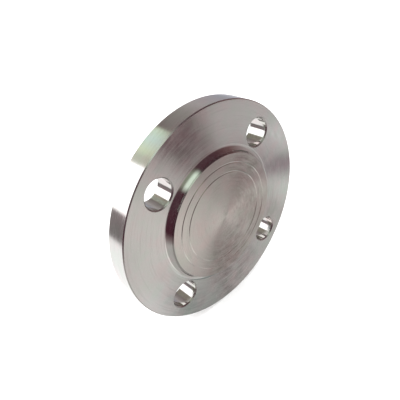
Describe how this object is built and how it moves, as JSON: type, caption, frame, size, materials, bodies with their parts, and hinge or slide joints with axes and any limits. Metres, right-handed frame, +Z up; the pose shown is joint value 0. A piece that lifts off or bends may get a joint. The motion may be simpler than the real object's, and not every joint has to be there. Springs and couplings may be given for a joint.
{
  "type": "blind flange",
  "caption": "Round raised-face blind flange in turned stainless steel, with a ring of bolt holes, that closes off the end of a flanged pipe, valve or nozzle.",
  "frame": {"origin": "centre of the gasket face, which is the flat front of the raised face", "axes": "-Y along the flange's axis, out of the gasket face towards the mating flange; +Z up, with the bolt holes straddling the vertical and horizontal centrelines"},
  "size_m": [0.127, 0.0159, 0.127],
  "materials": {
    "stainless_steel": "turned, satin, with brighter edges and bolt-hole walls"
  },
  "bodies": {
    "root": {"blind_flange": "stainless_steel"}
  },
  "joints": []
}
